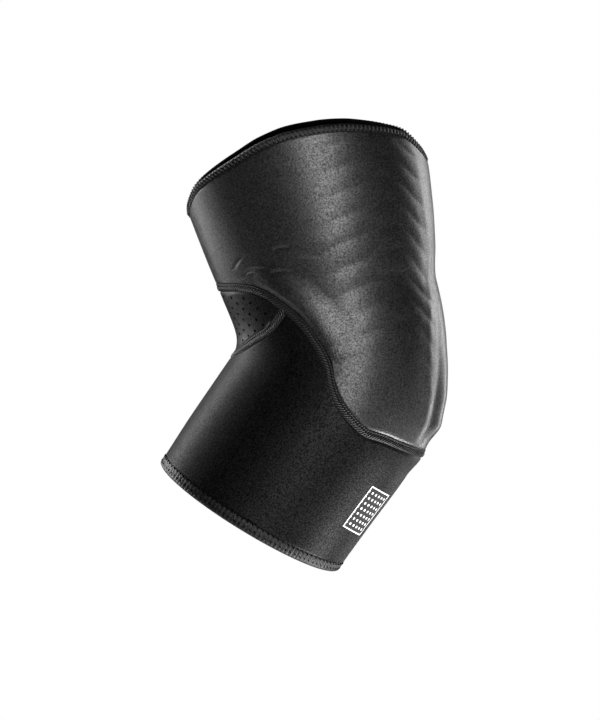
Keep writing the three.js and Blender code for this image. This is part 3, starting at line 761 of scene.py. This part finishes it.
def stitch_tree():
    """Bent threads set along a guide line, square to it or slanted, each turned outward from the skin."""
    tree = bpy.data.node_groups.new("stitches_along", "GeometryNodeTree")
    group_input(tree, "Guide", "NodeSocketGeometry")
    for name in ("Pitch", "Across", "Slant", "Rise", "Thread Radius"):
        group_input(tree, name, "NodeSocketFloat")
    group_input(tree, "Thread", "NodeSocketMaterial")
    group_output(tree, "Stitches", "NodeSocketGeometry")
    inside = tree.nodes.new("NodeGroupInput").outputs
    outside = tree.nodes.new("NodeGroupOutput").inputs

    def times(name, factor):
        return math_node(tree, "MULTIPLY", inside[name], factor)

    path = add_node(tree, "GeometryNodeMeshToCurve", Mesh=inside["Guide"])
    spaced = tree.nodes.new("GeometryNodeResampleCurve")
    spaced.mode = "LENGTH"
    fill(tree, spaced, Curve=path.outputs[0], Length=inside["Pitch"])
    turn = tree.nodes.new("FunctionNodeAxesToRotation")
    turn.primary_axis, turn.secondary_axis = "Z", "Y"
    tangent = tree.nodes.new("GeometryNodeInputTangent").outputs[0]
    fill(tree, turn, Primary_Axis=outward_attribute(tree), Secondary_Axis=tangent)
    start, end = (
        add_node(tree, "ShaderNodeCombineXYZ", X=times("Across", side), Y=times("Slant", side)).outputs[0]
        for side in (-0.5, 0.5)
    )
    middle = add_node(tree, "ShaderNodeCombineXYZ", Z=times("Rise", 2)).outputs[0]
    bend = add_node(
        tree, "GeometryNodeCurveQuadraticBezier", Resolution=6, Start=start, Middle=middle, End=end
    )
    ring = add_node(
        tree, "GeometryNodeCurvePrimitiveCircle", Resolution=6, Radius=inside["Thread Radius"]
    )
    thread = add_node(
        tree,
        "GeometryNodeCurveToMesh",
        Curve=bend.outputs[0],
        Profile_Curve=ring.outputs[0],
        Fill_Caps=True,
    )
    placed = add_node(
        tree,
        "GeometryNodeInstanceOnPoints",
        Points=spaced.outputs[0],
        Instance=thread.outputs[0],
        Rotation=turn.outputs[0],
    )
    real = add_node(tree, "GeometryNodeRealizeInstances", Geometry=placed.outputs[0])
    smooth = add_node(tree, "GeometryNodeSetShadeSmooth", Geometry=real.outputs[0])
    painted = add_node(
        tree, "GeometryNodeSetMaterial", Geometry=smooth.outputs[0], Material=inside["Thread"]
    )
    tree.links.new(painted.outputs[0], outside["Stitches"])
    return tree


def made_by_nodes(name, start, tree, **inputs):
    """A plain object that a Geometry Nodes tree makes from another one, which is then removed."""
    modifier = start.modifiers.new(tree.name, "NODES")
    modifier.node_group = tree
    names = {item.name: item.identifier for item in tree.interface.items_tree}
    for key, value in inputs.items():
        modifier[names[key.replace("_", " ")]] = value
    evaluated = start.evaluated_get(bpy.context.evaluated_depsgraph_get())
    mesh = bpy.data.meshes.new_from_object(evaluated)
    mesh.name = name
    bpy.data.objects.remove(start)
    return new_object(name, mesh)


def outward_points(name, around, place, height, edges):
    """Points over the skin, which carry the skin's outward direction."""
    points = over_skin(around, place, height * np.ones(len(around))) * MM
    mesh = bpy.data.meshes.new(name)
    mesh.from_pydata(points.tolist(), edges, [])
    outward = mesh.attributes.new("outward", "FLOAT_VECTOR", "POINT")
    outward.data.foreach_set("vector", skin_slopes(around, place)[2].astype(np.float32).ravel())
    return new_object(name, mesh)


def guide_line(name, line, height, across, closed):
    around, place = beside(line[0], line[1], across, closed)
    count = len(around)
    edges = [(i, (i + 1) % count) for i in range(count if closed else count - 1)]
    return outward_points(name, around, place, height, edges)


def sew(name, tree, line, closed, material, height, across, **sizes):
    """Stitches along a line on the skin. Sizes are in millimetres."""
    guide = guide_line(name + "_guide", line, height, across, closed)
    sizes = {key: value * MM for key, value in sizes.items()}
    return made_by_nodes(name, guide, tree, Thread=material, **sizes)


def join(name, parts):
    """One object from several."""
    with bpy.context.temp_override(active_object=parts[0], selected_editable_objects=parts):
        bpy.ops.object.join()
    parts[0].name = name
    parts[0].data.name = name
    return parts[0]


# Panels


def seam_lines(back_steps, front_steps):
    """The long seam as a ring, the forearm's upper edge as a ring, and the two edges of the vent."""
    back = even_spots(long_seam, 0, VENT_CORNER, back_steps)
    front = even_spots(long_seam, VENT_CORNER, 180, front_steps)
    vent = even_spots(vent_seam, VENT_CORNER, 180, front_steps)
    joined = [np.concatenate([b, f[1:]]) for b, f in zip(back, front)]
    forearm = [np.concatenate([b, v[1:]]) for b, v in zip(back, vent)]
    return mirrored_ring(*joined), mirrored_ring(*forearm), both_sides(*front), both_sides(*vent)


def upper_panel(material, lining):
    long_ring = seam_lines(back_steps=150, front_steps=60)[0]
    seam = beside(*long_ring, -GAP / 2, True)
    rim = mirrored_ring(*even_spots(top_rim, 0, 180, len(seam[0]) // 2))
    rim = beside(*rim, BINDING_THICKNESS + GAP, True)
    mesh = wall("upper_panel_cloth", rim, seam, rows=170, lining_rows=14, relief=upper_relief)
    obj = new_object(mesh.name, mesh, material)
    # The inside faces take the near-black lining finish: painted shade.
    mesh.materials.append(lining)
    return finish_piece(obj, "ribbed_cloth", "upper_panel")


def between_trims(top_width, bottom_width, bottom_start=0.0):
    """The relief of a plain piece that is sunk under the trims along its two edges."""

    def relief(around, place):
        points = skin_point(around, place)
        down = np.linalg.norm(points - points[:, :1], axis=-1)
        up = np.linalg.norm(points - points[:, -1:], axis=-1)
        return -np.maximum(sunk(down, top_width), sunk(up + bottom_start, bottom_width))

    return relief


def lower_panel(material, lining):
    forearm_ring = seam_lines(back_steps=100, front_steps=50)[1]
    seam = beside(*forearm_ring, GAP / 2, True)
    rim = mirrored_ring(*even_spots(bottom_rim, 0, 180, len(seam[0]) // 2))
    rim = beside(*rim, -BINDING_THICKNESS - GAP, True)
    relief = between_trims(SEAM_WIDTH / 2, BOTTOM_BINDING_WIDTH, bottom_start=BINDING_THICKNESS + GAP)
    mesh = wall("lower_panel_cloth", seam, rim, rows=110, lining_rows=14, relief=relief)
    obj = new_object(mesh.name, mesh, material)
    # The inside faces take the near-black lining finish: painted shade.
    mesh.materials.append(lining)
    return finish_piece(obj, "smooth_cloth", "lower_panel")


def down_arm(around, place, distance):
    """The spots a given distance down the arm from others."""
    steps = 16
    for _ in range(steps):
        place = place - distance / steps / np.linalg.norm(skin_slopes(around, place)[1], axis=-1)
    return place


def air_hole_spots():
    """Rows that slant evenly down from the crook, the same on both sides, where they clear the seams."""
    mid_vent = (150.0, 0.2)
    per_degree = np.linalg.norm(skin_slopes(*mid_vent)[0])
    middle_top = long_seam(180)
    round_arm = np.arange(HOLE_SPACING, 180 - VENT_CORNER, HOLE_SPACING) * math.sqrt(0.5)
    found = []
    for row in range(HOLE_ROWS_FROM, HOLE_ROWS_TO):
        down = round_arm + (row + HOLE_ROW_SHIFT) * HOLE_ROW_PITCH * math.sqrt(2)
        around = 180 - round_arm / per_degree
        place = down_arm(around, np.full(len(around), float(middle_top)), down)
        under_long = down_arm(around, place, -HOLE_MARGIN) < long_seam(around)
        over_vent = down_arm(around, place, HOLE_MARGIN) > vent_seam(around)
        clear = under_long & over_vent
        found += [(around[clear], place[clear]), (360 - around[clear], place[clear])]
    return np.concatenate([np.stack(spots) for spots in found], axis=1)


def vent_tree():
    """Cuts a round hole through the cloth at each spot."""
    tree = bpy.data.node_groups.new("air_holes", "GeometryNodeTree")
    group_input(tree, "Cloth", "NodeSocketGeometry")
    group_input(tree, "Spots", "NodeSocketObject")
    group_input(tree, "Hole Radius", "NodeSocketFloat")
    group_input(tree, "Hole Depth", "NodeSocketFloat")
    group_input(tree, "Finish", "NodeSocketMaterial")
    group_output(tree, "Pierced", "NodeSocketGeometry")
    inside = tree.nodes.new("NodeGroupInput").outputs
    outside = tree.nodes.new("NodeGroupOutput").inputs
    spots = add_node(tree, "GeometryNodeObjectInfo", Object=inside["Spots"])
    punch = add_node(
        tree,
        "GeometryNodeMeshCylinder",
        Vertices=HOLE_SIDES,
        Radius=inside["Hole Radius"],
        Depth=inside["Hole Depth"],
    )
    turn = add_node(tree, "FunctionNodeAlignRotationToVector", Vector=outward_attribute(tree))
    turn.axis = "Z"
    placed = add_node(
        tree,
        "GeometryNodeInstanceOnPoints",
        Points=spots.outputs["Geometry"],
        Instance=punch.outputs["Mesh"],
        Rotation=turn.outputs[0],
    )
    real = add_node(tree, "GeometryNodeRealizeInstances", Geometry=placed.outputs[0])
    cut = tree.nodes.new("GeometryNodeMeshBoolean")
    cut.operation = "DIFFERENCE"
    cut.solver = "EXACT"
    fill(tree, cut, Mesh_1=inside["Cloth"], Mesh_2=real.outputs[0])
    painted = add_node(
        tree, "GeometryNodeSetMaterial", Geometry=cut.outputs["Mesh"], Material=inside["Finish"]
    )
    tree.links.new(painted.outputs[0], outside["Pierced"])
    return tree


# The vent's knit is its own cloth, darkened as painted shade of the crook, which falls in shadow.
def vent_panel(material):
    _, _, top, bottom = seam_lines(back_steps=10, front_steps=40)
    count = len(top[0])
    around = np.concatenate([top[0], bottom[0][-2:0:-1]])
    place = np.concatenate([top[1], bottom[1][-2:0:-1]])
    around, place = beside(around, place, GAP / 2, True)
    inset_top = around[:count], place[:count]
    lower = slice(None, count - 1, -1)
    inset_bottom = (
        np.concatenate([around[:1], around[lower], around[count - 1 : count]]),
        np.concatenate([place[:1], place[lower], place[count - 1 : count]]),
    )
    relief = between_trims(SEAM_WIDTH / 2, SEAM_WIDTH / 2)
    mesh = wall(
        "vent_panel_whole", inset_top, inset_bottom, rows=48, lining_rows=10, relief=relief, ring=False
    )
    whole = new_object(mesh.name, mesh, material)
    spots = outward_points("hole_spots", *air_hole_spots(), -WALL / 2, [])
    sizes = {"Hole_Radius": HOLE_RADIUS * MM, "Hole_Depth": 3 * WALL * MM}
    pierced = made_by_nodes(
        "vent_panel_cloth", whole, vent_tree(), Spots=spots, Finish=material, **sizes
    )
    bpy.data.objects.remove(spots)
    return finish_piece(pierced, "vent_cloth", "vent_panel")


# Edges and seams


def seam_band(name, line, ring, material):
    """The seam's ground: a low band with a welt along its upper edge and a channel beside the welt."""
    half = SEAM_WIDTH / 2
    # How far across the line each corner lies, and how far over the skin
    section = [
        (-half, -SINK),
        (-half + 0.15, 0),
        (-half + 0.6, SEAM_PROUD),
        (-half + 1.1, SEAM_PROUD - 0.05),
        (-half + 1.35, -0.15),
        (-half + 1.6, 0),
        (0.2, 0.15),
        (half - 0.5, 0.05),
        (half - 0.1, -0.15),
        (half, -SINK),
    ]
    return new_object(name, strip(name, line, section, ring), material)


def flat_seam(name, line, ring, tree, materials, node):
    """A flat overlock seam: slanted threads over its lower part, and small stitches over the welt."""
    thread = materials["black_thread"]
    parts = [
        seam_band(name + "_band", line, ring, materials["seam_base"]),
        sew(name + "_threads", tree, line, ring, thread, 0, THREADS_ACROSS, **SEAM_STITCH),
        sew(name + "_welt", tree, line, ring, thread, SEAM_PROUD - WELT_SINK, WELT_ACROSS, **WELT_STITCH),
    ]
    return finish_piece(join(name, parts), "seam_thread", node)


def folded_edge(name, rim, inward, width, materials):
    """A tape folded over a raw edge, drawn in at each stitch so that it swells between them."""
    over = BINDING_PROUD
    under = -WALL - GAP - BINDING_THICKNESS
    fold_share, pucker_power = 0.7, 0.7
    lanes = 9
    turn = np.linspace(0, math.pi, lanes)
    reach = (over - under) / 2
    middle = (over + under) / 2
    fold = [((1 - math.sin(t)) * reach * fold_share, middle + math.cos(t) * reach) for t in turn]
    outside = [(width, over - BINDING_THICKNESS), (width - 0.1, over - 0.15), (width * 0.8, over)]
    inside = [(width * 0.8, under), (width, under + 0.25), (width, -WALL - GAP)]
    back = [(BINDING_THICKNESS, -WALL - GAP), (BINDING_THICKNESS, over - BINDING_THICKNESS)]
    section = outside + fold + inside + back
    length = np.linalg.norm(np.diff(skin_point(*rim), axis=0, append=skin_point(*rim)[:1]), axis=1)
    along = np.concatenate([[0], np.cumsum(length)[:-1]])
    total = length.sum()
    count = round(total / HEM_PITCH)
    wave = np.abs(np.sin(math.pi * count * along / total)) ** pucker_power
    drawn_in = (1 - wave) * HEM_PUCKER
    lanes_at = [beside(rim[0], rim[1], across * inward, True) for across, _ in section]
    points = []
    for (a, p), (across, height) in zip(lanes_at, section):
        faces_out = height > -1 and 0.3 < across < width - 0.2
        points.append(over_skin(a, p, height - faces_out * drawn_in))
    grid = np.stack(points, axis=1)
    mesh = body_mesh(name, grid, cloth_uv(grid), True, len(outside) + lanes // 2)
    obj = new_object(name, mesh, materials["edge_knit"])
    # The tape's inner faces take the near-black lining finish: painted shade.
    mesh.materials.append(materials["black_lining"])
    return obj


def hem(name, rim_at, inward, width, rows, tree, materials, node):
    """A folded edge with its rows of stitches. inward is 1 where the cloth lies below the rim, else -1."""
    spots_per_stitch, fine_steps = 6, 400
    half_rim = line_length(*even_spots(rim_at, 0, 180, fine_steps))
    steps = round(half_rim * spots_per_stitch / HEM_PITCH / 2) * 2
    rim = mirrored_ring(*even_spots(rim_at, 0, 180, steps))
    parts = [folded_edge(name + "_tape", rim, inward, width, materials)]
    for index, row in enumerate(rows):
        parts.append(
            sew(
                f"{name}_row_{index}", tree, rim, True, materials[row["thread"]],
                BINDING_PROUD + row["lift"], across=row["into"] * inward, **row["sizes"],
            )
        )
    return finish_piece(join(name, parts), "edge_tape", node)


# The print


def patch_material(width, length):
    """A light frame and dots on a dark ground, which glow as painted light for the print's reflection. The
    map called cloth holds lengths from one corner.
    """
    material = bpy.data.materials.new("reflective_print")
    material.use_nodes = True
    tree = material.node_tree
    across, down, both = cloth_map(tree)
    edges = []
    for output, size in ((across, width), (down, length)):
        off_middle = math_node(tree, "ABSOLUTE", math_node(tree, "SUBTRACT", output, size * MM / 2))
        edges.append(math_node(tree, "GREATER_THAN", off_middle, (size / 2 - PATCH_FRAME) * MM))
    scale = 1 / (PATCH_DOT_PITCH * MM)
    dots = add_node(tree, "ShaderNodeTexVoronoi", Vector=both, Scale=scale, Randomness=0)
    dot = math_node(tree, "LESS_THAN", dots.outputs["Distance"], PATCH_DOT_RADIUS / PATCH_DOT_PITCH)
    light = math_node(tree, "MAXIMUM", math_node(tree, "MAXIMUM", *edges), dot)
    color = color_mix(tree, light, (0.012, 0.012, 0.012, 1), (0.75, 0.75, 0.75, 1))
    # The print glows with its own colour at a fixed strength: painted light for its reflection, though it
    # is no lamp.
    fill(
        tree,
        tree.nodes["Principled BSDF"],
        Base_Color=color,
        Roughness=0.6,
        Specular_IOR_Level=0.2,
        Emission_Color=color,
        Emission_Strength=0.7,
    )
    return material


def printed_patch():
    columns, rows = 24, 36
    around = np.linspace(*PATCH["around"], columns)
    place = np.linspace(*PATCH["place"], rows)
    a, p = np.meshgrid(around, place, indexing="ij")
    outside = over_skin(a, p, PATCH_FILM * np.ones_like(a))
    inside = over_skin(a, p, -PATCH_FILM * np.ones_like(a))
    grid = np.concatenate([outside, inside[:, ::-1]], axis=1)
    uv = cloth_uv(grid)
    mesh = body_mesh("forearm_patch", grid, uv, False)
    material = patch_material(uv[columns - 1, 0, 0], uv[0, rows - 1, 1])
    return finish_piece(new_object(mesh.name, mesh, material), "seam_thread")


# Studio


def stand_facing(obj, centre, azimuth, elevation, distance):
    """Sets a lamp or a camera off from a point, turned to look at it."""
    a, e = math.radians(azimuth), math.radians(elevation)
    back = Vector((math.sin(a) * math.cos(e), -math.cos(a) * math.cos(e), math.sin(e)))
    obj.location = centre + back * distance
    obj.rotation_mode = "QUATERNION"
    obj.rotation_quaternion = (-back).to_track_quat("-Z", "Y")


def softbox(name, azimuth, elevation, distance, width, height, power):
    """A soft rectangular lamp, from one row of LAMPS."""
    lamp = bpy.data.lights.new(name, "AREA")
    lamp.shape = "RECTANGLE"
    lamp.size, lamp.size_y = width, height
    lamp.energy = power
    stand_facing(new_object(name, lamp), Vector((0, 0, 0)), azimuth, elevation, distance)


def for_camera(tree, lighting, seen, output):
    """Shows the camera one thing straight on, and lights the room by another."""
    path = tree.nodes.new("ShaderNodeLightPath")
    mix = add_node(tree, "ShaderNodeMixShader", Fac=path.outputs["Is Camera Ray"])
    link_pairs(tree, (lighting, mix.inputs[1]), (seen, mix.inputs[2]), (mix.outputs[0], output))


def studio():
    world = bpy.data.worlds.new("pale_room")
    bpy.context.scene.world = world
    world.use_nodes = True
    tree = world.node_tree
    room = fill(tree, tree.nodes["Background"], Color=(1, 1, 1, 1), Strength=ROOM_GLOW)
    shown = add_node(tree, "ShaderNodeBackground", Color=(1, 1, 1, 1))
    for_camera(tree, room.outputs[0], shown.outputs[0], tree.nodes["World Output"].inputs["Surface"])
    for lamp in rows_of(LAMPS):
        softbox(**lamp)


def floor():
    """A plain pale floor under the brace, which hangs over it as it would on an arm."""
    bpy.ops.mesh.primitive_plane_add(size=60, location=(0, 0, FLOOR_HEIGHT))
    ground = bpy.context.object
    ground.name = "floor"
    material = bpy.data.materials.new("pale_floor")
    material.use_nodes = True
    tree = material.node_tree
    matte = fill(tree, tree.nodes["Principled BSDF"], Base_Color=(0.8, 0.8, 0.8, 1), Roughness=0.9)
    lit = tree.nodes.new("ShaderNodeEmission")
    for_camera(tree, matte.outputs[0], lit.outputs[0], tree.nodes["Material Output"].inputs["Surface"])
    ground.data.materials.append(material)


def camera():
    data = bpy.data.cameras.new("camera")
    data.sensor_width = SENSOR
    data.lens = SENSOR * CAMERA_DISTANCE / VIEW_HEIGHT
    data.clip_end = 100
    obj = new_object("camera", data)
    stand_facing(obj, VIEW_CENTRE, 0, CAMERA_ELEVATION, CAMERA_DISTANCE)
    bpy.context.scene.camera = obj


def main():
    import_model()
    bpy.context.scene.view_settings.view_transform = "Standard"
    camera()
    studio()
    floor()

    knit = knit_group()
    materials = {row["name"]: cloth_material(knit, **row) for row in rows_of(FINISHES)}
    upper = upper_panel(materials["ribbed_knit"], materials["black_lining"])
    lower = lower_panel(materials["smooth_knit"], materials["black_lining"])
    # The vent knit is darkened as painted shade of the crook.
    vent = vent_panel(materials["vent_knit"])

    stitches = stitch_tree()
    long_ring = seam_lines(back_steps=600, front_steps=240)[0]
    start = VENT_CORNER + THREADS_FROM_CORNER
    vent_line = both_sides(*even_spots(vent_seam, start, 180, 240))
    sewing = (stitches, materials)
    long_threads = flat_seam("elbow_seam_threads", long_ring, True, *sewing, "elbow_seam")
    short_threads = flat_seam("vent_seam_threads", vent_line, False, *sewing, "vent_seam")
    down, up = 1, -1
    top_edge = hem("top_edge", top_rim, down, TOP_BINDING_WIDTH, TOP_ROWS, *sewing, "top_binding")
    bottom_edge = hem(
        "bottom_edge", bottom_rim, up, BOTTOM_BINDING_WIDTH, BOTTOM_ROWS, *sewing, "bottom_binding"
    )
    patch = printed_patch()


main()
